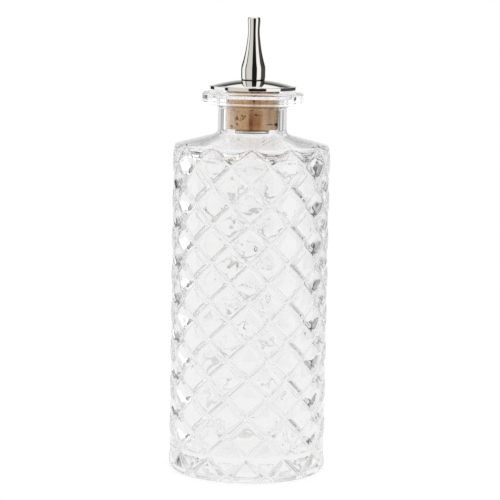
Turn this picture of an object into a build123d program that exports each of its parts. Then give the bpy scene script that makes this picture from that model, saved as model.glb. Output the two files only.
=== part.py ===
from build123d import *
import os
from math import cos, hypot, radians, sin, tan

# A bitters bottle: a moulded glass bottle covered in diamond pads, and a stopper that lifts
# out of its neck. A thin threaded tube runs through the stopper's cork. A round nut holds the
# cork from below and a domed cap from above, and the spout that dashes are shaken from is
# screwed on the tube's upper end.
# Sizes are in millimetres. Z points up, and the origin is the middle of the base, in the
# plane that the bottle stands on. The first column of pads faces the front, along -Y.

# Glass bottle
body_diameter = 60.0  # over the crowns of the pads
glass_height = 145.5  # from the base to the top of the lip
head_height = 20.45  # from where the side would meet the shoulder's slope to the top of the lip
shoulder_angle = 14.5  # degrees, from level
shoulder_rounding = 3.0
heel_rounding = 3.0
side_wall = 1.8  # behind the grooves at their deepest
shoulder_wall = 3.0
base_thickness = 8.0
cavity_foot_rounding = 6.0
cavity_shoulder_rounding = 5.0
push_up_depth = 1.2  # the hollow under the base
rest_ring_width = 4.0  # the flat ring that the bottle stands on
push_up_slope_width = 3.0

# Neck and lip
bore_diameter = 20.6
neck_wall = 2.9
neck_foot_rounding = 2.0
throat_bevel = 1.5  # inside, where the cavity narrows to the bore
lip_diameter = 38.6
lip_thickness = 4.9
lip_bevel = 0.8
lip_crown = 0.5  # how far the lip's top rises between its edges
lip_root_rounding = 2.0
mouth_bevel = 1.6  # inside the lip, where the cork is led in

# Diamond pads
pads_around = 12
pad_rows = 18
first_row_height = 2.8  # middle of the lowest row, which the heel cuts in half
last_row_rise = 0.8  # middle of the highest row, above the shoulder's corner
groove_depth = 1.8  # from a pad's crown to where two grooves cross
pad_side_fall = 0.5  # how far the side corners of a pad's rim lie inside the crown
pad_end_fall = 0.85  # how far the top and bottom corners of the rim lie inside it
pad_rim_share = 0.79  # the rim's half width, as a share of the cell's
pad_crown_share = 0.32  # the crown's half width, as a share of the cell's
pad_root = 1.2  # how deep a pad is sunk below the crossings of the grooves
pad_clearance = 0.3  # from the crowns to the outline that trims the end rows

# Cork
cork_length = 15.0
cork_clearance = 0.1  # between the bore and the cork's thick end
cork_taper = 0.9  # the radius that the cork loses from its top to its foot
cork_bevel = 0.4

# Domed cap
cap_diameter = 33.1
cap_lift = 0.5  # above the lip
cap_rim_thickness = 0.8
cap_rim_bevel = 0.2
cap_rise = 2.4  # from the top of the rim to the seat of the spout
cap_dome_radius = 50.0
cap_seat_diameter = 9.4

# Threaded tube and its nut
tube_diameter = 5.0
tube_bore_diameter = 3.0
tube_fit = 0.05  # clearance of the pieces on the tube
tube_engagement = 8.0  # the length that the spout is screwed on
nut_diameter = 13.0
nut_thickness = 1.4
nut_bevel = 0.3

# Spout
spout_height = 24.1
spout_foot_diameter = 9.0
spout_belly_diameter = 9.4
spout_foot_height = 0.7  # where the foot has swelled to the belly
spout_belly_height = 4.6  # top of the straight part
spout_waist_diameter = 4.44
spout_waist_height = 18.4
spout_mouth_diameter = 4.86  # where the flare above the waist is widest
spout_mouth_height = 22.9
spout_tip_diameter = 3.8
spout_socket_depth = 8.5
spout_funnel_length = 5.0
spout_orifice_diameter = 1.8
# Places on the taper from belly to waist: share of its height, share of the radius to lose.
spout_taper_shares = [(0.17, 0.81), (0.45, 0.42), (0.73, 0.16)]

block_clearance = 0.1  # from the round block under the pads to the grooves at their deepest
overrun = 1.0  # how far the block passes the outline that cuts it

# Worked out from the sizes above
shoulder_height = glass_height - head_height
body_radius = body_diameter / 2
crossing_radius = body_radius - groove_depth
bore_radius = bore_diameter / 2
neck_radius = bore_radius + neck_wall
lip_radius = lip_diameter / 2
lip_edge_height = glass_height - lip_crown
half_pitch = 360 / pads_around / 2
block_radius = crossing_radius * cos(radians(half_pitch / 2)) - block_clearance
cavity_radius = block_radius - side_wall
row_step = (shoulder_height + last_row_rise - first_row_height) / (pad_rows - 1)
tube_radius = tube_diameter / 2
tube_bore_radius = tube_bore_diameter / 2
tube_hole_radius = tube_radius + tube_fit
cap_foot = glass_height + cap_lift
cork_foot = cap_foot - cork_length
spout_foot = cap_foot + cap_rim_thickness + cap_rise
nut_foot = cork_foot - nut_thickness


def turned(corners):
    """A solid of revolution from the corners (radius, height, rounding) of its half section."""
    points = [(radius, 0, height) for radius, height, rounding in corners]
    roundings = [rounding for radius, height, rounding in corners]
    outline = FilletPolyline(*points, radius=roundings, close=True)
    return revolve(make_face(outline), Axis.Z)


def slope_height(radius):
    """Height of the shoulder's outer slope."""
    return shoulder_height + (body_radius - radius) * tan(radians(shoulder_angle))


def outer_corners():
    """The outside of the bottle from base to lip.

    Its side stands a little clear of the pads, so that it trims them at heel and shoulder only.
    """
    side_radius = body_radius + pad_clearance
    ring_outside = body_radius - heel_rounding
    ring_inside = ring_outside - rest_ring_width
    return [
        (0, push_up_depth, 0),
        (ring_inside - push_up_slope_width, push_up_depth, 0),
        (ring_inside, 0, 0),
        (side_radius, 0, heel_rounding + pad_clearance),
        (side_radius, slope_height(side_radius), shoulder_rounding + pad_clearance),
        (neck_radius, slope_height(neck_radius), neck_foot_rounding),
        (neck_radius, glass_height - lip_thickness, lip_root_rounding),
        (lip_radius - lip_bevel, glass_height - lip_thickness, 0),
        (lip_radius, glass_height - lip_thickness + lip_bevel, 0),
        (lip_radius, lip_edge_height - lip_bevel, 0),
        (lip_radius - lip_bevel, lip_edge_height, 0),
        ((lip_radius + bore_radius) / 2, glass_height, 0),
    ]


def hollow_corners():
    """The inside of the bottle from mouth to floor."""
    under_slope = shoulder_wall / cos(radians(shoulder_angle))
    throat_height = slope_height(bore_radius) - under_slope
    return [
        (bore_radius + mouth_bevel, lip_edge_height, 0),
        (bore_radius, lip_edge_height - mouth_bevel, 0),
        (bore_radius, throat_height + throat_bevel, 0),
        (bore_radius + throat_bevel, throat_height - throat_bevel * tan(radians(shoulder_angle)), 0),
        (cavity_radius, slope_height(cavity_radius) - under_slope, cavity_shoulder_rounding),
        (cavity_radius, base_thickness, cavity_foot_rounding),
        (0, base_thickness, 0),
    ]


def diamond(across, side_level, along, end_level):
    """The four corners of one outline of a pad that faces the front.

    The side corners lie across from its middle, and the end corners above and below it.
    A level is a corner's distance in front of the bottle's axis.
    """
    return [
        (across, -side_level, 0),
        (-across, -side_level, 0),
        (0, -end_level, along),
        (0, -end_level, -along),
    ]


def pad():
    """One diamond pad: flat flanks up from the grooves, then facets up to a flat crown.

    Each flank holds the line between two crossings of the grooves, so the flanks of two
    neighbours meet in that line.
    """
    half_angle = radians(half_pitch)
    cell_across = crossing_radius * sin(half_angle)
    cell_side_level = crossing_radius * cos(half_angle)
    rim_angle = half_angle * pad_rim_share
    rim_radius = body_radius - pad_side_fall
    rim_across = rim_radius * sin(rim_angle)
    rim_side_level = rim_radius * cos(rim_angle)
    rim_end_level = body_radius - pad_end_fall
    # A flank loses this much level for each millimetre across, and along.
    fall_across = (rim_side_level - cell_side_level) / (cell_across - rim_across)
    flank_top = cell_side_level + fall_across * cell_across
    fall_along = (flank_top - crossing_radius) / row_step
    rim_along = (flank_top - rim_end_level) / fall_along
    # So does a facet, from the rim up to the crown.
    crown_across = cell_across * pad_crown_share
    facet_across = (body_radius - rim_side_level) / (rim_across - crown_across)
    facet_top = body_radius + facet_across * crown_across
    facet_along = (facet_top - rim_end_level) / rim_along
    crown_along = (facet_top - body_radius) / facet_along
    root_level = cell_side_level - pad_root
    root_across = (flank_top - root_level) / fall_across
    root_along = (flank_top - root_level) / fall_along
    return ConvexPolyhedron(
        diamond(root_across, root_level, root_along, root_level)
        + diamond(rim_across, rim_side_level, rim_along, rim_end_level)
        + diamond(crown_across, body_radius, crown_along, body_radius)
    )


def pads():
    """The rows of pads, each turned by half a pitch against the row below it."""
    one = pad()
    placed = []
    for row in range(pad_rows):
        turn = half_pitch if row % 2 else 0
        for column in range(pads_around):
            around = Rot(0, 0, turn + 2 * half_pitch * column)
            placed.append(around * Pos(0, 0, first_row_height + row * row_step) * one)
    return placed


def bottle_glass():
    """The moulded bottle.

    A round block just inside the grooves carries the pads, and the bottle's own outline and
    hollow are then cut out of the two together.
    """
    block_height = glass_height + 2 * overrun
    block = Pos(0, 0, glass_height / 2) * Cylinder(block_radius, block_height)
    return (block + pads()) & turned(outer_corners() + hollow_corners())


def cork_stopper():
    """The tapered cork, with the hole that the threaded tube runs through."""
    top_radius = bore_radius - cork_clearance
    foot_radius = top_radius - cork_taper
    return turned(
        [
            (tube_hole_radius, cork_foot, 0),
            (foot_radius - cork_bevel, cork_foot, 0),
            (foot_radius, cork_foot + cork_bevel, 0),
            (top_radius, cap_foot - cork_bevel, 0),
            (top_radius - cork_bevel, cap_foot, 0),
            (tube_hole_radius, cap_foot, 0),
        ]
    )


def dome_cap():
    """The polished cap: a thin rim, a shallow dome, and a flat seat for the spout."""
    cap_radius = cap_diameter / 2
    dome_start = (cap_radius, 0, cap_foot + cap_rim_thickness)
    dome_end = (cap_seat_diameter / 2, 0, spout_foot)
    section = [
        ThreePointArc(dome_start, dome_middle(dome_start, dome_end), dome_end),
        Polyline(
            dome_end,
            (tube_hole_radius, 0, spout_foot),
            (tube_hole_radius, 0, cap_foot),
            (cap_radius - cap_rim_bevel, 0, cap_foot),
            (cap_radius, 0, cap_foot + cap_rim_bevel),
            dome_start,
        ),
    ]
    return revolve(make_face(section), Axis.Z)


def dome_middle(start, end):
    """The middle of the dome's arc between two points of the half section."""
    run = start[0] - end[0]
    rise = end[2] - start[2]
    chord = hypot(run, rise)
    bulge = cap_dome_radius - (cap_dome_radius**2 - (chord / 2) ** 2) ** 0.5
    outward = rise / chord * bulge
    upward = run / chord * bulge
    return ((start[0] + end[0]) / 2 + outward, 0, (start[2] + end[2]) / 2 + upward)


def clamp_nut():
    """The round nut under the cork."""
    nut_radius = nut_diameter / 2
    return turned(
        [
            (tube_hole_radius, nut_foot, 0),
            (nut_radius - nut_bevel, nut_foot, 0),
            (nut_radius, nut_foot + nut_bevel, 0),
            (nut_radius, cork_foot, 0),
            (tube_hole_radius, cork_foot, 0),
        ]
    )


def threaded_tube():
    """The tube that the liquid passes through, from the nut up into the spout."""
    tube_top = spout_foot + tube_engagement
    return turned(
        [
            (tube_bore_radius, nut_foot, 0),
            (tube_radius, nut_foot, 0),
            (tube_radius, tube_top, 0),
            (tube_bore_radius, tube_top, 0),
        ]
    )


def spout():
    """The turned spout: a straight belly, a long hollow taper, and a flare with a rounded tip."""
    belly = spout_belly_diameter / 2
    waist = spout_waist_diameter / 2
    tip = spout_tip_diameter / 2
    orifice = spout_orifice_diameter / 2
    taper_length = spout_waist_height - spout_belly_height
    taper = [
        (waist + (belly - waist) * radius_share, 0, spout_foot + spout_belly_height + taper_length * share)
        for share, radius_share in spout_taper_shares
    ]
    foot_start = (spout_foot_diameter / 2, 0, spout_foot)
    belly_start = (belly, 0, spout_foot + spout_foot_height)
    belly_end = (belly, 0, spout_foot + spout_belly_height)
    waist_point = (waist, 0, spout_foot + spout_waist_height)
    mouth_point = (spout_mouth_diameter / 2, 0, spout_foot + spout_mouth_height)
    tip_point = (tip, 0, spout_foot + spout_height)
    socket_top = spout_foot + spout_socket_depth
    section = [
        Polyline(foot_start, belly_start, belly_end),
        Spline(belly_end, *taper, waist_point, tangents=[(0, 0, 1), (0, 0, 1)]),
        Spline(waist_point, mouth_point, tangents=[(0, 0, 1), (0, 0, 1)]),
        Spline(mouth_point, tip_point, tangents=[(0, 0, 1), (-1, 0, 0)]),
        Polyline(
            tip_point,
            (orifice, 0, spout_foot + spout_height),
            (orifice, 0, socket_top + spout_funnel_length),
            (tube_hole_radius, 0, socket_top),
            (tube_hole_radius, 0, spout_foot),
            foot_start,
        ),
    ]
    return revolve(make_face(section), Axis.Z)


pieces = {
    "bottle_glass": bottle_glass,
    "cork_stopper": cork_stopper,
    "dome_cap": dome_cap,
    "clamp_nut": clamp_nut,
    "threaded_tube": threaded_tube,
    "spout": spout,
}

os.makedirs("parts", exist_ok=True)
for name, make in pieces.items():
    piece = make()
    piece.label = name
    export_step(piece, f"parts/{name}.step")
    print(name, "volume", round(piece.volume), "mm3")
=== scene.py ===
# %% [markdown]
# A bitters bottle, dressed for its portrait.
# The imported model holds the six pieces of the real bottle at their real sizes: the pressed
# glass, the cork, the domed cap, the spout, the nut under the cork and the tube that runs
# through all of them. This lesson gives each piece the surface that the real one has, and
# lights it as glass is lit in a studio: bright from behind, with dark cards at the sides that
# draw its edges.

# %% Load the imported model
from math import cos, pi, radians, sin, sqrt, tan

import bpy
import numpy as np
from mathutils import Matrix, Vector


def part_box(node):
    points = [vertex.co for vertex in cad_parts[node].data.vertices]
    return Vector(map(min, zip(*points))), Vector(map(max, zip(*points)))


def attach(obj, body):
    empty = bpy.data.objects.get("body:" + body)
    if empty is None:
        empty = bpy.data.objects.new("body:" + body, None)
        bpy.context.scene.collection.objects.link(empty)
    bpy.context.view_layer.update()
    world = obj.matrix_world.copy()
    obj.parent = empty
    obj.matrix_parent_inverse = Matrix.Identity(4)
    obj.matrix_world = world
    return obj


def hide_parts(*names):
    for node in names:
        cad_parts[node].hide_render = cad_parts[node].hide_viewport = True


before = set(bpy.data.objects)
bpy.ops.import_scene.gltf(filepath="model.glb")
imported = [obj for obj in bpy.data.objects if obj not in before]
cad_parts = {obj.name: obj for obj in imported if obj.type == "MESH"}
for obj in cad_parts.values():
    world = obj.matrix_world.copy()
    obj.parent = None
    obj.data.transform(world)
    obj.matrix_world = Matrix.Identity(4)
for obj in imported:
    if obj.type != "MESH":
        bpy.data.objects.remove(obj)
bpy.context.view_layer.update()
mm = 0.001
print("pieces", sorted(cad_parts))

# %% [markdown]
# The camera comes first, because every choice after it is judged through it. The picture
# was taken with a long lens from a little above the bottle, so the camera stands 0.84 m away
# and looks down by about 8 degrees. The bottle leans by one degree in the picture, which is
# the camera's own tilt.

# %% Camera
camera_distance = 848.9 * mm
camera_pitch = radians(7.617)
camera_roll = radians(1.035)
aim_height = 84.75 * mm
lens_mm = 160.0


def place_camera():
    """A camera in front of the bottle, along -Y, tilted down and rolled a little."""
    aim = Vector((0, 0, aim_height))
    away = Vector((0, -cos(camera_pitch), sin(camera_pitch)))
    bpy.ops.object.camera_add(location=aim + away * camera_distance)
    camera = bpy.context.object
    turn = (-away).to_track_quat("-Z", "Y").to_matrix() @ Matrix.Rotation(camera_roll, 3, "Z")
    camera.rotation_euler = turn.to_euler()
    camera.data.lens = lens_mm
    bpy.context.scene.camera = camera
    return camera


camera = place_camera()
print("camera at", [round(value, 3) for value in camera.location])

# %% [markdown]
# Materials are node trees. These helpers make a material with one main shader, set the
# shader's sockets and join other nodes to them, so that the cells below read as recipes. The
# workhorse is a colour ramp over any value that has a meaning, such as a height or an angle,
# with its stops written in the units of that value.

# %% Helpers for nodes
def grey(level):
    return (level, level, level, 1.0)


def add_node(tree, kind, inputs=None, **settings):
    """A node of that kind, with its settings and with the values of its input sockets."""
    made = tree.nodes.new(kind)
    for name, value in settings.items():
        setattr(made, name, value)
    for name, value in (inputs or {}).items():
        made.inputs[name].default_value = value
    return made


def join(tree, source, output, target, socket):
    """A link from one node's output to another's input."""
    tree.links.new(source.outputs[output], target.inputs[socket])


def feed(tree, socket, value):
    """Gives an input socket its value: a link where that is a socket, or else the value."""
    if isinstance(value, bpy.types.NodeSocket):
        tree.links.new(value, socket)
    else:
        socket.default_value = value


def new_material(name, **sockets):
    """A material of one Principled shader. Socket names are written with _ for a space."""
    material = bpy.data.materials.new(name)
    material.use_nodes = True
    shader = material.node_tree.nodes["Principled BSDF"]
    for socket, value in sockets.items():
        shader.inputs[socket.replace("_", " ")].default_value = value
    return material, material.node_tree, shader


def coordinates(tree, output="Object"):
    """The node of texture coordinates, and its X, Y and Z as sockets of their own."""
    place = add_node(tree, "ShaderNodeTexCoord")
    parts = add_node(tree, "ShaderNodeSeparateXYZ")
    join(tree, place, output, parts, "Vector")
    return place, parts.outputs


# %% Helpers for arithmetic and colour
mix_factor, mix_first, mix_second, mix_result = 0, 6, 7, 2


def calculated(tree, operation, *values):
    """One step of arithmetic on sockets or numbers."""
    step = add_node(tree, "ShaderNodeMath", operation=operation)
    for place, value in enumerate(values):
        feed(tree, step.inputs[place], value)
    return step.outputs[0]


def mixed(tree, factor, first, second, how="MIX"):
    """The mix of two colours, each a socket or a colour, by a socket or a number."""
    mix = add_node(tree, "ShaderNodeMix", data_type="RGBA", blend_type=how)
    for place, value in ((mix_factor, factor), (mix_first, first), (mix_second, second)):
        feed(tree, mix.inputs[place], value)
    return mix.outputs[mix_result]


def ramp_over(tree, source, low, high, stops):
    """A colour ramp over a value that runs from low to high, from stops of (value, colour)."""
    scaled = add_node(tree, "ShaderNodeMapRange", {"From Min": low, "From Max": high})
    tree.links.new(source, scaled.inputs["Value"])
    ramp = add_node(tree, "ShaderNodeValToRGB")
    join(tree, scaled, "Result", ramp, "Fac")
    elements = ramp.color_ramp.elements
    elements.remove(elements[-1])
    stops = [((value - low) / (high - low), colour) for value, colour in stops]
    elements[0].position, elements[0].color = stops[0]
    for place, colour in stops[1:]:
        elements.new(place).color = colour
    return ramp.outputs["Color"]


# %% [markdown]
# Clear glass has no colour of its own: it shows the room, bent. So the room is the light.
# Round the bottle stands what a studio has: bright sheets, a beige card, the dark gap where
# the camera stands, and a dark card to the right. One colour ramp round the horizon holds
# them, and others up from the horizon hold the far wall, which darkens upwards to a black edge
# under the bright ceiling. The bare metal shows this room as it is. The glass gets a lighter
# one, because each pad is a strong lens that would pack the whole room into one small diamond.
# It keeps a grey card to the left of the camera, and dark strips far round to the sides,
# which draw the edges of the pads.

# %% The colours of the room
black = grey(0.012)
dark = (0.075, 0.066, 0.062, 1.0)
beige = (0.70, 0.69, 0.645, 1.0)
white = grey(1.0)
off = grey(0.0)
grey_card = (0.50, 0.49, 0.46, 1.0)
thin_strip, wide_strip, backdrop = grey(0.08), grey(0.36), grey(0.905)
matt_light = 0.85
table_glow = 0.90

# Degrees round the horizon, from straight behind the bottle past its left side to the camera
# at 0 and on past its right side, and the colour that stands there.
round_metal = [
    (-180, white), (-152, white), (-148, black), (-125, black), (-121, white),
    (-80, white), (-78, black), (-70, black), (-67, beige), (-13, beige),
    (-10, black), (34, black), (37, white), (76, white), (79, dark),
    (150, dark), (156, white), (180, white),
]
round_glass = [
    (-180, backdrop), (-163, grey(0.895)), (-155, grey(0.62)), (-150, wide_strip),
    (-143, wide_strip), (-139, grey(0.62)), (-136.5, grey(0.06)), (-133.5, grey(0.06)),
    (-131.5, grey(1.15)), (-103, grey(1.15)), (-96, white), (-68, white),
    (-62, grey_card), (-12, grey_card), (-8, grey(0.75)), (29, grey(0.75)),
    (33, white), (98, white), (101, thin_strip), (105.5, thin_strip),
    (108, grey(0.42)), (118, grey(0.42)), (121, thin_strip), (125, thin_strip),
    (128, grey(0.75)), (139, grey(0.80)), (143, grey(0.34)), (149, grey(0.34)),
    (155, grey(0.83)), (167, grey(0.895)), (180, backdrop),
]
# Degrees up from the horizon, and the colour there.
far_wall = [
    (-90, white), (-2, white), (6, grey(0.77)), (13, grey(0.44)), (18, grey(0.21)),
    (22, grey(0.05)), (25, grey(0.05)), (27, white), (90, white),
]
ceiling_in_metal = [(-90, off), (42, off), (50, white), (90, white)]
ceiling_through_glass = [
    (-90, white), (9, white), (16, grey(0.86)), (20, grey(0.58)), (24, grey(0.58)),
    (27, grey(0.95)), (40, white), (90, grey(0.85)),
]
strips_foot = [(-90, off), (-12, off), (-4, white), (90, white)]
# The far wall stands only behind the bottle: -1 is the camera's side, 1 is straight behind.
where_far_wall = [(-1, off), (0.3, off), (0.5, white), (1, white)]
# How much light reaches matt pieces through the glass round them, from the left to the right.
light_in_glass = [(-1, grey(1.9)), (1, grey(1.1))]
print("cards:", len(round_metal), "stops for the metal and", len(round_glass), "for the glass")


# %% The room as a world
def room():
    """The world: white to the camera, soft light to matt surfaces, and a studio to the rest."""
    world = bpy.data.worlds.new("studio_room")
    world.use_nodes = True
    bpy.context.scene.world = world
    tree = world.node_tree
    tree.nodes.clear()
    right, back, up = coordinates(tree, "Generated")[1]
    front = calculated(tree, "MULTIPLY", back, -1.0)
    turn = calculated(tree, "DEGREES", calculated(tree, "ARCTAN2", right, front))
    height = calculated(tree, "DEGREES", calculated(tree, "ARCSINE", up))

    def round_horizon(stops):
        return ramp_over(tree, turn, -180, 180, stops)

    def up_from_horizon(stops):
        return ramp_over(tree, height, -90, 90, stops)

    behind = ramp_over(tree, back, -1, 1, where_far_wall)
    wall = mixed(tree, behind, white, up_from_horizon(far_wall))
    cards = mixed(tree, 1.0, round_horizon(round_metal), wall, "MULTIPLY")
    metal = mixed(tree, up_from_horizon(ceiling_in_metal), cards, white)
    strips = round_horizon(round_glass)
    strips = mixed(tree, up_from_horizon(strips_foot), grey(table_glow), strips)
    glass = mixed(tree, 1.0, strips, up_from_horizon(ceiling_through_glass), "MULTIPLY")
    path = add_node(tree, "ShaderNodeLightPath")
    onto_matt = calculated(tree, "GREATER_THAN", path.outputs["Diffuse Depth"], 0.5)
    glass = mixed(tree, onto_matt, glass, ramp_over(tree, right, -1, 1, light_in_glass))
    lit = mixed(tree, path.outputs["Is Glossy Ray"], grey(matt_light), metal)
    seen = mixed(tree, path.outputs["Is Transmission Ray"], lit, glass)
    shown = mixed(tree, path.outputs["Is Camera Ray"], seen, white)
    background = add_node(tree, "ShaderNodeBackground")
    tree.links.new(shown, background.inputs["Color"])
    output = add_node(tree, "ShaderNodeOutputWorld")
    tree.links.new(background.outputs[0], output.inputs["Surface"])
    return world


print("world", room().name)

# %% [markdown]
# Blender stops following a ray after a number of bounces. Inside the pads light is thrown
# about many times before it leaves them, and each ray that is given up leaves a black point,
# so glass needs far more bounces than a matt object does.

# %% Bounces of light
scene = bpy.context.scene
scene.view_settings.view_transform = "Standard"
scene.cycles.max_bounces = 40
scene.cycles.transmission_bounces = 40
scene.cycles.glossy_bounces = 24
print("bounces", scene.cycles.max_bounces)

# %% [markdown]
# The table is a small white sheet. It glows white by itself to the camera and to the glass,
# and only a small share of its brightness is light from the room, so the bottle's shadow
# stays as faint as in a bright studio. It ends a little in front of the bottle, so that the
# polished spout shows the room's dark and bright stripes down to its foot.

# %% Table
table_size = 0.7
table_matt = 0.25
table_own_light = 0.82


def table():
    bpy.ops.mesh.primitive_plane_add(size=table_size)
    sheet = bpy.context.object
    sheet.name = "table"
    material = bpy.data.materials.new("white_table")
    material.use_nodes = True
    tree = material.node_tree
    tree.nodes.clear()
    path = add_node(tree, "ShaderNodeLightPath")
    matt = add_node(tree, "ShaderNodeBsdfDiffuse", {"Color": grey(table_matt)})
    faint = add_node(tree, "ShaderNodeEmission", {"Strength": table_own_light})
    lit = add_node(tree, "ShaderNodeAddShader")
    tree.links.new(matt.outputs[0], lit.inputs[0])
    tree.links.new(faint.outputs[0], lit.inputs[1])
    glow = add_node(tree, "ShaderNodeEmission", {"Color": grey(table_glow)})
    mirrored, through = path.outputs["Is Glossy Ray"], path.outputs["Is Transmission Ray"]
    mix = add_node(tree, "ShaderNodeMixShader")
    tree.links.new(calculated(tree, "MAXIMUM", mirrored, through), mix.inputs["Fac"])
    tree.links.new(lit.outputs[0], mix.inputs[1])
    tree.links.new(glow.outputs[0], mix.inputs[2])
    output = add_node(tree, "ShaderNodeOutputMaterial")
    tree.links.new(mix.outputs[0], output.inputs["Surface"])
    sheet.data.materials.append(material)
    return sheet


print(table().name, table_size, "m wide")

# %% [markdown]
# Every piece of this bottle is round: the glass comes from a mould, the metal and the cork
# from a lathe. So each half section is drawn as a chain of points, extruded one after another,
# and spun round the axis. Rounded corners matter here, since every edge of glass is a lens,
# and every edge of metal catches a line of light.

# %% Helpers for turned pieces
arc_step = radians(10)
same_place = 0.002 * mm


def rounded(corners):
    """The outline through corners of (radius, height, rounding), with arcs at the corners."""
    points = [Vector(corners[0][:2])]
    for before, corner, after in zip(corners, corners[1:], corners[2:]):
        here = Vector(corner[:2])
        if not corner[2]:
            points.append(here)
            continue
        inward = (Vector(before[:2]) - here).normalized()
        outward = (Vector(after[:2]) - here).normalized()
        turn = pi - inward.angle(outward)
        middle = here + (inward + outward).normalized() * corner[2] / cos(turn / 2)
        start = here + inward * corner[2] * tan(turn / 2) - middle
        sense = 1 if inward.x * outward.y - inward.y * outward.x < 0 else -1
        steps = max(2, round(turn / arc_step))
        for step in range(steps + 1):
            points.append(middle + Matrix.Rotation(sense * turn * step / steps, 2) @ start)
    points.append(Vector(corners[-1][:2]))
    return points


def with_rows(points, heights):
    """The outline with more points where its straight runs pass these heights."""
    full = []
    for point, following in zip(points, points[1:]):
        low, high = sorted((point.y, following.y))
        inside = sorted(height for height in heights if low < height < high)
        if following.y < point.y:
            inside.reverse()
        share = [(height - point.y) / (following.y - point.y) for height in inside]
        full.append(point)
        full.extend(point.lerp(following, part) for part in share)
    return full + [points[-1]]


def turned(name, points, steps, smooth_angle=radians(40)):
    """A turned piece: its outline is extruded point by point and spun round the axis."""
    bpy.ops.object.select_all(action="DESELECT")
    bpy.ops.mesh.primitive_plane_add(size=mm)
    piece = bpy.context.object
    piece.name = name
    bpy.ops.object.mode_set(mode="EDIT")
    bpy.ops.mesh.merge(type="CENTER")
    bpy.ops.transform.translate(value=(points[0].x, 0, points[0].y))
    for point, following in zip(points, points[1:]):
        move = (following.x - point.x, 0, following.y - point.y)
        bpy.ops.mesh.extrude_region_move(TRANSFORM_OT_translate={"value": move})
    bpy.ops.mesh.select_all(action="SELECT")
    bpy.ops.mesh.spin(steps=steps, angle=2 * pi, center=(0, 0, 0), axis=(0, 0, 1))
    bpy.ops.mesh.select_all(action="SELECT")
    bpy.ops.mesh.remove_doubles(threshold=same_place)
    bpy.ops.mesh.normals_make_consistent(inside=False)
    bpy.ops.object.mode_set(mode="OBJECT")
    bpy.ops.object.shade_smooth_by_angle(angle=smooth_angle)
    print(name, len(piece.data.polygons), "faces")
    return piece


# %% [markdown]
# The glass is turned first and pressed afterwards, as the mould does it in one stroke. The
# outline runs from the middle of the base up the outside, over the lip and down the inside. It
# has extra rows of points up the side, a dozen to each row of pads, to be pressed in later. The
# wall is thick at the base and thin at the shoulder, and opens into the neck in a wide curve:
# that curve decides how much of the cork and the nut is seen through it. The inner measures
# were set by what they show, because the glass lets nobody measure its inside directly.

# %% Measures of the glass
body_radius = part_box("bottle_glass")[1].x
glass_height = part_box("bottle_glass")[1].z
bore_radius = 10.3 * mm
neck_radius = bore_radius + 2.9 * mm
lip_radius = 19.3 * mm
lip_foot = glass_height - 4.9 * mm
lip_edge = glass_height - 0.5 * mm
shoulder_height = glass_height - 20.45 * mm
shoulder_slope = tan(radians(14.5))
corner_rounding = 3.0 * mm
base_thickness = 6.6 * mm
cavity_radius = 26.06 * mm
wall_under_neck = 1.7 * mm
wall_under_edge = 2.8 * mm
push_up = 1.2 * mm
pad_clearance = 0.3 * mm

pads_around = 12
pad_rows = 18
first_row = 2.8 * mm
row_step = (shoulder_height + 0.8 * mm - first_row) / (pad_rows - 1)
samples_per_pad = 12
print("rows of pads", round(row_step / mm, 2), "mm apart")


# %% The outline of the glass
def slope_height(radius):
    return shoulder_height + (body_radius - radius) * shoulder_slope


def outer_corners():
    """The outside from base to lip and into the mouth: corners of (radius, height, rounding)."""
    side = body_radius + pad_clearance
    rounding = corner_rounding + pad_clearance
    return [
        (0, push_up, 0),
        (20 * mm, push_up, 2 * mm),
        (23 * mm, 0, 1 * mm),
        (side, 0, rounding),
        (side, slope_height(side), rounding),
        (neck_radius, slope_height(neck_radius), 2.2 * mm),
        (neck_radius, lip_foot, 2.0 * mm),
        (lip_radius, lip_foot, 1.2 * mm),
        (lip_radius, lip_edge, 1.0 * mm),
        (15.0 * mm, glass_height, 5 * mm),
        (bore_radius + 2.3 * mm, lip_edge + 0.1 * mm, 0.6 * mm),
        (bore_radius, lip_edge - 2.2 * mm, 0.6 * mm),
    ]


def inner_corners():
    """The inside from the foot of the neck down to the middle of the base."""
    return [
        (bore_radius, slope_height(bore_radius) - wall_under_neck, 4.5 * mm),
        (cavity_radius, slope_height(cavity_radius) - wall_under_edge, 5 * mm),
        (cavity_radius, base_thickness, 6 * mm),
        (0, base_thickness, 0),
    ]


def glass_outline():
    fine = row_step / samples_per_pad
    steps = range(-samples_per_pad, samples_per_pad * pad_rows)
    rows = [first_row + fine * step for step in steps]
    return with_rows(rounded(outer_corners() + inner_corners()), rows)


# %% [markdown]
# The pads are diamonds, twelve round the bottle, and each row sits in the gaps of the row
# below. A diamond grid is a square grid seen along its diagonals, so the place of a point is
# turned into two such diagonal measures, u and v. Both are 0 at the middle of a pad and 1 in
# the groove beside it. The face of a pad is a shallow crown with sharp corners, and the
# groove round it has soft sides and a deeper place where two grooves cross. One formula makes
# all the pads at once, and they meet round the back because twelve whole pads fill the circle.

# %% The shape of the pads
groove_half_width = 1.2 * mm
pad_corner = 0.5 * mm
crown_across = 0.0130 / mm
crown_along = 0.0260 / mm
groove_depth = 1.35 * mm
crossing_depth = 0.45 * mm


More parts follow.
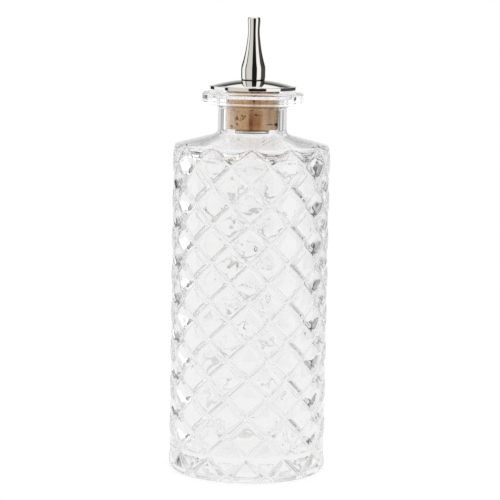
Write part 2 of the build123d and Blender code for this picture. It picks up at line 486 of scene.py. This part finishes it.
def pressed_radius(turn, height):
    """The radius that the pressed pads leave at places round and up the bottle."""
    half_pitch = pi / pads_around
    across_cell = body_radius * half_pitch
    around = turn / half_pitch
    up = (height - first_row) / row_step
    u = around + up
    v = around - up
    u = u - 2 * np.round(u / 2)
    v = v - 2 * np.round(v / 2)
    across = (u + v) / 2 * across_cell
    along = (u - v) / 2 * row_step
    half_width = across_cell * row_step / sqrt(across_cell**2 + row_step**2)
    face = half_width - groove_half_width - pad_corner
    out_u = np.maximum(np.abs(u) * half_width - face, 0)
    out_v = np.maximum(np.abs(v) * half_width - face, 0)
    past_rim = np.hypot(out_u, out_v) - pad_corner
    sunk = 0.5 - 0.5 * np.cos(pi * np.clip(past_rim / groove_half_width, 0, 1))
    crown = crown_across * across**2 + crown_along * along**2
    crossing = (np.sin(pi / 2 * u) * np.sin(pi / 2 * v)) ** 2
    groove = groove_depth + crossing_depth * crossing
    return body_radius - (1 - sunk) * crown - sunk * groove


# %% Press the pads
blend = 0.5 * mm
deepest_press = 2.4 * mm


def points_of(piece):
    """The points of a piece, their radius, and their turn from the front in radians."""
    places = np.empty(len(piece.data.vertices) * 3)
    piece.data.vertices.foreach_get("co", places)
    places = places.reshape(-1, 3)
    radius = np.hypot(places[:, 0], places[:, 1])
    return places, radius, np.arctan2(places[:, 0], -places[:, 1])


def move_points(piece, places):
    piece.data.vertices.foreach_set("co", places.ravel())
    piece.data.update()


def press_pads(glass):
    """Moves the outer side inwards to the pads, softly where they meet heel and shoulder."""
    places, radius, turn = points_of(glass)
    pads = pressed_radius(turn, places[:, 2])
    overlap = np.clip(blend - np.abs(radius - pads), 0, None) / blend
    soft = np.minimum(radius, pads) - overlap**2 * blend / 4
    side = (radius > body_radius - deepest_press) & (places[:, 2] < slope_height(neck_radius))
    scale = np.where(side, soft / np.maximum(radius, mm), 1)
    places[:, :2] *= scale[:, None]
    move_points(glass, places)


# %% [markdown]
# Pressed glass is never quite even. Outside, the mould leaves faint ripples on the pads.
# Inside, where no mould touched the glass, the wall wanders more and over longer distances.
# Two Displace modifiers with a cloud texture do both, each on its own group of points. Without
# them every pad would show the same sharp picture of the room.

# %% Uneven walls
near = 0.1 * mm
ripple_size, ripple_depth = 3.4 * mm, 0.12 * mm
wander_size, wander_depth = 7 * mm, 0.32 * mm
even_heel, even_edge, even_shoulder = 4 * mm, 2 * mm, 9 * mm


def uneven(piece, name, chosen, size, depth):
    """Gives the chosen points of a piece soft bumps of that size and depth."""
    group = piece.vertex_groups.new(name=name)
    group.add([int(point) for point in np.flatnonzero(chosen)], 1.0, "REPLACE")
    clouds = bpy.data.textures.new(name, "CLOUDS")
    clouds.noise_scale = size
    bumps = piece.modifiers.new(name, "DISPLACE")
    bumps.texture = clouds
    bumps.texture_coords = "LOCAL"
    bumps.vertex_group = name
    bumps.strength = depth
    bpy.ops.object.modifier_apply(modifier=name)
    print(name, int(chosen.sum()), "points made uneven")


def uneven_walls(glass):
    """Bumps on the inner wall and on the pads, and none near heel, shoulder and neck."""
    places, radius, _ = points_of(glass)
    up = places[:, 2]
    within = (radius < cavity_radius + near) & (up > base_thickness - near)
    inside = within & (up < shoulder_height - even_shoulder)
    outer = (radius > body_radius - deepest_press) & (up > even_heel)
    pads = outer & (up < shoulder_height - even_edge)
    uneven(glass, "inner_wall", inside, wander_size, wander_depth)
    uneven(glass, "pad_faces", pads, ripple_size, ripple_depth)


# %% [markdown]
# The glass itself is one clear material that bends light by 1.52, as common glass does. The
# lower edge of the real lip shows a bright line over a dark one. The turned lip is too clean
# to show them, so the material paints them: a faint glow as a painted highlight and a darker
# tint as painted shade, each a ramp over the height, and only on the outside of the neck and
# the lip.

# %% Clear glass
clear = grey(0.995)
# Strengths of the painted highlight and the painted shade along the lip's lower edge.
glint_level, shade_level = grey(0.32), grey(0.45)
line_reach = 2 * mm


def clear_glass():
    """Clear glass, with a painted highlight and a painted line of shade along the lip's lower
    edge.
    """
    material, tree, shader = new_material(
        "clear_glass", Roughness=0.0, IOR=1.52, Transmission_Weight=1.0, Emission_Color=white
    )
    right, back, up = coordinates(tree)[1]
    squares = [calculated(tree, "MULTIPLY", value, value) for value in (right, back)]
    radius = calculated(tree, "SQRT", calculated(tree, "ADD", *squares))
    outside = calculated(tree, "GREATER_THAN", radius, neck_radius - near)

    def near_lip_foot(stops):
        places = [(lip_foot + height * mm, level) for height, level in stops]
        return ramp_over(tree, up, lip_foot - line_reach, lip_foot + line_reach, places)

    # Painted highlight: a faint glow on the outside, just over the lip's foot.
    glint = near_lip_foot([
        (0.20, off), (0.35, glint_level), (0.90, glint_level), (1.05, off),
    ])
    # Painted shade: a darker tint on the outside, just under the lip's foot.
    shade = near_lip_foot([
        (-1.05, clear), (-0.90, shade_level), (-0.10, shade_level), (0.05, clear),
    ])
    glow = calculated(tree, "MULTIPLY", outside, glint)
    tree.links.new(glow, shader.inputs["Emission Strength"])
    tree.links.new(mixed(tree, outside, clear, shade), shader.inputs["Base Color"])
    return material


# %% Make the bottle
bottle = turned("bottle", glass_outline(), 2 * pads_around * samples_per_pad)
press_pads(bottle)
uneven_walls(bottle)
bottle.data.materials.append(clear_glass())
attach(bottle, "bottle")
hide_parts("bottle_glass")

# %% [markdown]
# The metal pieces are turned on a lathe, so they are spun here in the same way. Polished steel
# is a mirror, and all that it shows is the room, so its material is little more than a colour
# and faint rings of roughness left by turning. Where one piece stands on another, light gets
# lost in the joint, so a dark ring of painted shade a quarter of a millimetre high says that
# they are two pieces.

# %% Polished and plain steel
ring_softness = 0.06 * mm
turning_marks = (1, 1, 30)


def steel(name, colour, roughness, grain):
    """Steel with the faint rings of turning: fine bands of roughness up the piece."""
    material, tree, shader = new_material(name, Base_Color=colour, Metallic=1.0)
    place = add_node(tree, "ShaderNodeTexCoord")
    squash = add_node(tree, "ShaderNodeMapping", {"Scale": turning_marks})
    join(tree, place, "Object", squash, "Vector")
    rings = add_node(tree, "ShaderNodeTexNoise", {"Scale": 160.0, "Detail": 4.0})
    join(tree, squash, "Vector", rings, "Vector")
    span = {"To Min": roughness, "To Max": roughness + grain}
    level = add_node(tree, "ShaderNodeMapRange", span)
    join(tree, rings, "Fac", level, "Value")
    join(tree, level, "Result", shader, "Roughness")
    print(name, "roughness", roughness, "to", round(roughness + grain, 2))
    return material


def dark_ring(material, low, high, level):
    """Darkens a turned piece between two heights: painted shade in a joint, or a darker edge."""
    tree = material.node_tree
    shader = tree.nodes["Principled BSDF"]
    up = coordinates(tree)[1]["Z"]
    clean = tuple(shader.inputs["Base Color"].default_value)
    ring = ramp_over(tree, up, low - mm, high + mm, [
        (low - ring_softness, clean), (low, grey(level)),
        (high, grey(level)), (high + ring_softness, clean),
    ])
    tree.links.new(ring, shader.inputs["Base Color"])


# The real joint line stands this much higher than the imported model's.
cap_lift = 0.38 * mm
spout_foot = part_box("spout")[0].z + cap_lift
nut_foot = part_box("clamp_nut")[0].z
# Millimetres over the spout's foot.
joint_low, joint_high = 0.07, 0.32
darker_edge_height = 0.40 * mm
polished_steel = steel("polished_steel", (0.90, 0.885, 0.86, 1.0), 0.0, 0.05)
# Painted shade in the joint at the spout's foot: a dark ring on the polished steel.
dark_ring(polished_steel, spout_foot + joint_low * mm, spout_foot + joint_high * mm, 0.03)
plain_steel = steel("plain_steel", (0.74, 0.73, 0.71, 1.0), 0.10, 0.15)
# The nut is darker along its lower edge.
dark_ring(plain_steel, nut_foot, nut_foot + darker_edge_height, 0.02)

# %% [markdown]
# The spout is one long taper with a swelling at its mouth, made to pour in dashes. Its outline
# has to be smooth, because a kink in a mirror shows at once, so the side follows a curve
# through a few measured radii. The curve passes through every point that it is given, and its
# direction at each one is that from the point before to the point after. Inside runs a narrow
# channel, wider below, where the tube screws in.

# %% Spout
hole_radius = 2.55 * mm
# Radii and heights over the spout's foot in millimetres.
spout_edge = [(4.1, 0), (4.42, joint_low), (4.56, joint_high), (4.64, 0.9), (4.69, 1.6)]
spout_side = [
    (4.70, 4.4), (4.62, 5.4), (4.38, 6.4), (4.05, 7.5), (3.68, 8.9), (3.28, 10.7),
    (2.90, 12.7), (2.58, 15.0), (2.32, 17.1), (2.22, 18.6), (2.24, 19.8), (2.32, 21.1),
    (2.41, 22.3), (2.43, 23.0), (2.36, 23.6), (2.16, 23.95), (1.85, 24.1),
]
spout_channel = [(1.05, 24.1), (0.9, 23.95), (0.9, 13.5), (2.55, 8.5)]


def curve_through(points, steps):
    """A smooth curve through points of (radius, height), as a list of points."""
    found = []
    full = [points[0]] + points + [points[-1]]
    for before, start, end, after in zip(full, full[1:], full[2:], full[3:]):
        for step in range(steps):
            t = step / steps
            found.append(tuple(
                0.5 * (
                    2 * s + (e - b) * t + (2 * b - 5 * s + 4 * e - a) * t**2
                    + (3 * s - b - 3 * e + a) * t**3
                )
                for b, s, e, a in zip(before, start, end, after)
            ))
    return found + [points[-1]]


def spout_outline():
    """The section of the spout, from its foot up the outside and down the channel inside."""
    lower = [Vector((radius * mm, spout_foot + up * mm)) for radius, up in spout_edge]
    upper = [
        Vector((radius * mm, spout_foot - cap_lift + up * mm))
        for radius, up in curve_through(spout_side, 4) + spout_channel
    ]
    foot = [Vector((hole_radius, spout_foot)), Vector((spout_edge[0][0] * mm, spout_foot))]
    return lower + upper + foot


spout = turned("dasher_spout", spout_outline(), 96)
spout.data.materials.append(polished_steel)
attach(spout, "spout_head")
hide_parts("spout")

# %% [markdown]
# The cap is a thick disc of the same steel. Its top looks flat, but a flat mirror would show
# only one shade of the ceiling. The real one is a very shallow dome, which gathers the whole
# room into rings round the spout, so the outline follows a parabola from the rim up to the
# flat seat of the spout.

# %% Domed cap
cap_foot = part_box("dome_cap")[0].z + 0.15 * mm
cap_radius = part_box("dome_cap")[1].x
cap_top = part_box("dome_cap")[1].z + cap_lift
rim_height = 1.25 * mm
rim_inside = 15.3 * mm
dome_outside, dome_inside, dome_steps = 15.2 * mm, 4.9 * mm, 30
seat_radius = 4.7 * mm
dome_bend = 100 * mm
dome_peak = cap_top + seat_radius**2 / dome_bend


def cap_outline():
    """The section of the cap: from its hole down to the cork, out to the rim, up the dome."""
    rim_top = cap_foot + rim_height
    rim = [
        (hole_radius, cap_top, 0), (hole_radius, cap_foot, 0), (cap_radius, cap_foot, 0.15 * mm),
        (cap_radius, rim_top, 0.12 * mm), (rim_inside, rim_top + 0.04 * mm, 0),
    ]
    radii = np.linspace(dome_outside, dome_inside, dome_steps)
    dome = [Vector((radius, dome_peak - radius**2 / dome_bend)) for radius in radii]
    seat = [Vector((seat_radius, cap_top)), Vector((hole_radius, cap_top))]
    return rounded(rim) + dome + seat


cap = turned("domed_cap", cap_outline(), 160)
cap.data.materials.append(polished_steel)
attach(cap, "stopper")
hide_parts("dome_cap")

# %% [markdown]
# A tube runs through the cork and the cap, and a round nut under the cork screws the whole
# stopper together. Only the nut is seen, as a bright lens under the cork with a dark lower
# edge, but a model that comes apart needs both. They are plain rings of a less polished steel.

# %% Nut and tube
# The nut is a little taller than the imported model's, or the glass would squeeze it to a line.
nut_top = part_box("clamp_nut")[1].z + 0.4 * mm
nut_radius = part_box("clamp_nut")[1].x
tube_radius = 2.5 * mm
tube_bore = 1.5 * mm
tube_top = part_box("threaded_tube")[1].z


def ring(name, inside, outside, foot, top, rounding, steps):
    """A ring of rectangular section with rounded edges."""
    middle = (foot + top) / 2
    corners = [
        (inside, middle, 0), (inside, foot, rounding), (outside, foot, rounding),
        (outside, top, rounding), (inside, top, rounding), (inside, middle, 0),
    ]
    return turned(name, rounded(corners), steps)


nut = ring("round_nut", hole_radius, nut_radius, nut_foot, nut_top, 0.6 * mm, 96)
tube = ring("centre_tube", tube_bore, tube_radius, nut_foot, tube_top, 0.2 * mm, 48)
for piece, node in ((nut, "clamp_nut"), (tube, "threaded_tube")):
    piece.data.materials.append(plain_steel)
    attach(piece, "stopper")
    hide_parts(node)

# %% [markdown]
# The cork is cut from natural bark, so it has pits where pores ran through it, a crack, and
# soft darker streaks up its side. The pits are real dents in the mesh, because a bump in the
# material alone would leave the cork's edge straight. Each also darkens the colour, which
# reads the depth of the dent from an attribute of the mesh.

# %% Measures and pits of the cork
cork_foot, cork_top = nut_top, cap_foot
cork_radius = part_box("cork_stopper")[1].x
cork_taper = 0.4 * mm
cork_row = 0.2 * mm
cork_rows = 76
pits_behind = 70
dark_at_depth = 0.45 * mm
# Each pit: turn from the front in degrees, height over the cork's foot, width and height of
# the pit in millimetres, and its depth.
cork_pits = [
    (-33.4, 4.2, 1.1, 0.9, 1.0), (-33.4, 5.0, 0.6, 0.6, 0.5), (-20.7, 5.2, 0.6, 0.6, 0.9),
    (-15.3, 5.2, 0.6, 0.6, 0.9), (-19.8, 4.0, 0.5, 0.5, 0.8), (-17.5, 4.5, 0.5, 0.5, 0.8),
    (-25.6, 3.7, 0.5, 0.5, 0.6), (-32.9, 2.1, 0.7, 0.7, 0.7), (-46.3, 1.1, 0.9, 0.9, 0.8),
    (7.0, 5.75, 0.9, 0.7, 0.7), (14.5, 5.7, 2.4, 0.3, 0.3), (-1.5, 7.6, 1.8, 0.5, 0.5),
    (-40.3, 7.5, 1.6, 0.4, 0.4), (39, 2.1, 3.6, 0.5, 0.6), (57, 2.1, 2.0, 1.0, 1.0),
    (63, 1.8, 2.0, 1.3, 1.0), (2.5, 11.2, 0.6, 1.6, 0.7), (-50, 11.4, 1.5, 1.3, 0.9),
    (56, 7.0, 1.2, 0.4, 0.3),
]
cork_patterns = np.random.default_rng(5)


def all_pits():
    """The pits seen from the front, and more of the same round the rest of the cork."""
    pits = list(cork_pits)
    for _ in range(pits_behind):
        turn = cork_patterns.uniform(85, 275)
        height = cork_patterns.uniform(0.8, 14.2)
        width, depth = cork_patterns.uniform(0.4, 1.6), cork_patterns.uniform(0.2, 0.7)
        pits.append((turn, height, width, width * cork_patterns.uniform(0.4, 0.9), depth))
    return pits


# %% The shape of the cork
def cork_outline():
    hole_start = (hole_radius, cork_foot + mm, 0)
    corners = [
        hole_start, (hole_radius, cork_foot, 0), (cork_radius - cork_taper, cork_foot, 0.5 * mm),
        (cork_radius, cork_top - 1.2 * mm, 1.0 * mm), (cork_radius - 0.9 * mm, cork_top, 0),
        (hole_radius, cork_top, 0), hole_start,
    ]
    rows = [cork_foot + cork_row * step for step in range(cork_rows)]
    return with_rows(rounded(corners), rows)


def dent(cork):
    """Presses the pits into the side of the cork and keeps how deep each place is."""
    places, radius, turn = points_of(cork)
    depth = np.zeros(len(places))
    # A pit is deepest at its middle and fades out a little past its size, on a ragged edge.
    for at, height, width, tall, deep in all_pits():
        apart = (np.degrees(turn) - at + 180) % 360 - 180
        across = np.radians(apart) * radius / (width * mm / 2)
        along = (places[:, 2] - cork_foot - height * mm) / (tall * mm / 2)
        ragged = 0.25 * np.sin(across * 3 + at) * np.cos(along * 2 + height)
        inside = np.clip(1.3 - np.hypot(across, along) - ragged, 0, 1)
        depth = np.maximum(depth, deep * mm * inside)
    side = radius > cork_radius - cork_taper - 0.3 * mm
    depth = np.where(side, depth, 0)
    places[:, :2] *= (1 - depth / np.maximum(radius, mm))[:, None]
    pits = cork.data.attributes.new("pit_depth", "FLOAT", "POINT")
    pits.data.foreach_set("value", np.clip(depth / dark_at_depth, 0, 1))
    move_points(cork, places)


# %% [markdown]
# The cork's colour is built in layers, from the large to the small: soft streaks up the side,
# painted light on the pale left side and painted shade on the dark right side, one darker stripe
# up the front that is a painted reflection of the room's dark part, a fine grain of cells, and
# last the pits. Each layer is a noise or a ramp over the place, so no image is drawn for it.

# %% The colour of the cork
# Colours of the painted light on the left side and the painted shade on the right side.
cork_painted_light, cork_shade = (0.96, 0.87, 0.80, 1), (0.17, 0.125, 0.11, 1)
# Tints of the painted reflection, a darker stripe up the front.
reflection_tint, reflection_core_tint = (0.66, 0.39, 0.16, 1), (0.52, 0.31, 0.10, 1)
pit_colour = (0.035, 0.010, 0.001, 1)
streak_colours = [
    (0.30, (0.43, 0.225, 0.085, 1)), (0.46, (0.60, 0.355, 0.155, 1)),
    (0.60, (0.74, 0.475, 0.24, 1)),
]
cell_colours = [
    (0.28, (0.30, 0.19, 0.12, 1)), (0.42, (0.86, 0.82, 0.78, 1)), (0.7, (1, 1, 1, 1)),
]
# Millimetres to the right of the cork's middle, and how strong the layer is there.
# Painted light on the left side and painted shade on the right.
painted_light_side = [(-9.6, 0.55), (-8.5, 0.50), (-7.2, 0.34), (-5.5, 0.10), (-4.5, 0)]
painted_shade_side = [(8.0, 0), (9.2, 0.8)]
# The darker stripe up the front, a painted reflection of the room's dark part, and its core.
reflection_stripe = [(-2.6, 0), (-1.0, 1.0), (2.4, 0.9), (3.6, 0)]
reflection_core = [(-1.3, 0), (-0.8, 1.0), (-0.1, 1.0), (0.4, 0)]
# Millimetres over the cork's foot, and how strong the painted reflection is there.
reflection_fades = [(1.0, 0.7), (2.2, 1.0), (8.0, 0.35)]


def cork_material():
    """Cork: a grain of small cells, streaks up the side, brown specks, dark pits, painted light
    and shade at the sides and a painted reflection up the front.
    """
    material, tree, shader = new_material("cork", Roughness=0.85, Specular_IOR_Level=0.1)
    place, (right, back, up) = coordinates(tree)

    def strength(source, zero, low, high, stops):
        stops = [(zero + value * mm, grey(level)) for value, level in stops]
        return ramp_over(tree, source, low, high, stops)

    def across(stops):
        return strength(right, 0, -bore_radius, bore_radius, stops)

    stretch = add_node(tree, "ShaderNodeMapping", {"Scale": (1, 1, 0.22)})
    join(tree, place, "Object", stretch, "Vector")
    noise = {"Scale": 190.0, "Detail": 3.0, "Roughness": 0.6}
    streaks = add_node(tree, "ShaderNodeTexNoise", noise)
    join(tree, stretch, "Vector", streaks, "Vector")
    bark = ramp_over(tree, streaks.outputs["Fac"], 0, 1, streak_colours)
    specks = add_node(tree, "ShaderNodeTexNoise", {"Scale": 1500.0, "Detail": 2.0})
    join(tree, place, "Object", specks, "Vector")
    speckled = ramp_over(tree, specks.outputs["Fac"], 0, 1, cell_colours)
    grain = mixed(tree, 0.8, bark, speckled, "MULTIPLY")
    # Painted light on the left side, then painted shade on the right.
    grain = mixed(tree, across(painted_light_side), grain, cork_painted_light)
    grain = mixed(tree, across(painted_shade_side), grain, cork_shade)
    # The painted reflection: a darker stripe on the front only, fading with height.
    front = calculated(tree, "LESS_THAN", back, 0.0)
    fades = strength(up, cork_foot, cork_foot, cork_top, reflection_fades)
    front = calculated(tree, "MULTIPLY", front, fades)
    for stops, tint in ((reflection_stripe, reflection_tint), (reflection_core, reflection_core_tint)):
        band = calculated(tree, "MULTIPLY", front, across(stops))
        grain = mixed(tree, band, grain, mixed(tree, 1.0, grain, tint, "MULTIPLY"))
    pits = add_node(tree, "ShaderNodeAttribute", attribute_name="pit_depth")
    colour = mixed(tree, pits.outputs["Fac"], grain, pit_colour)
    tree.links.new(colour, shader.inputs["Base Color"])
    bump = add_node(tree, "ShaderNodeBump", {"Strength": 0.4, "Distance": 0.1 * mm})
    join(tree, specks, "Fac", bump, "Height")
    join(tree, bump, "Normal", shader, "Normal")
    return material


# %% Make the cork
cork = turned("cork_plug", cork_outline(), 320)
dent(cork)
cork.data.materials.append(cork_material())
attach(cork, "stopper")
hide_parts("cork_stopper")
